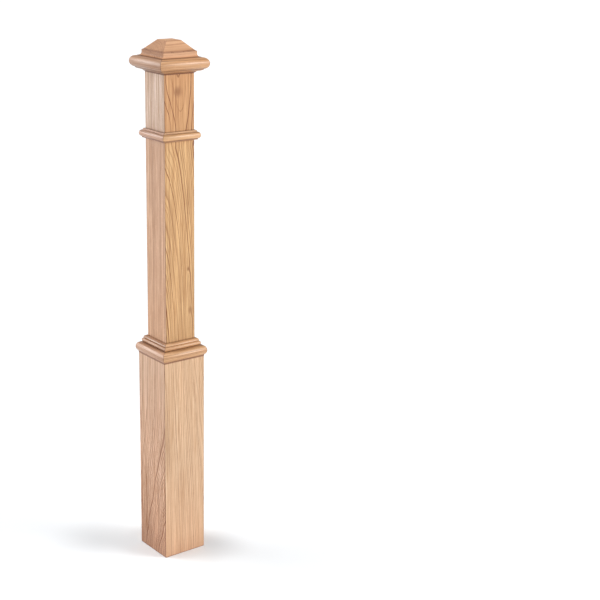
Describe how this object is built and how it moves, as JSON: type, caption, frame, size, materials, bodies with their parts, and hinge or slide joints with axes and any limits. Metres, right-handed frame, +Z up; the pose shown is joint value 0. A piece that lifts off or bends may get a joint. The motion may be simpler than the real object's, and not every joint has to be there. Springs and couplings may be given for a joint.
{
  "type": "newel post",
  "caption": "Square hollow box newel post in clear oak, with a wider base, a narrower shaft, mitred mouldings and a low pyramid cap.",
  "frame": {"origin": "middle of the underside of the base, on the floor", "axes": "+Z up the post, -Y towards the front face, +X to the right of someone who faces the front"},
  "size_m": [0.148, 0.148, 1.397],
  "materials": {
    "oak_boards": "sanded bare oak with open grain",
    "oak_mouldings": "planed and sanded bare oak",
    "oak_cap": "sanded bare oak, end grain on two sides"
  },
  "bodies": {
    "root": {"shaft_board_front": "oak_boards", "shaft_board_right": "oak_boards", "shaft_board_back": "oak_boards", "shaft_board_left": "oak_boards", "base_board_front": "oak_boards", "base_board_right": "oak_boards", "base_board_back": "oak_boards", "base_board_left": "oak_boards", "plinth_nosing_front": "oak_mouldings", "plinth_nosing_right": "oak_mouldings", "plinth_nosing_back": "oak_mouldings", "plinth_nosing_left": "oak_mouldings", "foot_moulding_front": "oak_mouldings", "foot_moulding_right": "oak_mouldings", "foot_moulding_back": "oak_mouldings", "foot_moulding_left": "oak_mouldings", "band_front": "oak_mouldings", "band_right": "oak_mouldings", "band_back": "oak_mouldings", "band_left": "oak_mouldings", "cap_moulding_front": "oak_mouldings", "cap_moulding_right": "oak_mouldings", "cap_moulding_back": "oak_mouldings", "cap_moulding_left": "oak_mouldings", "cap_block": "oak_cap"}
  },
  "joints": []
}
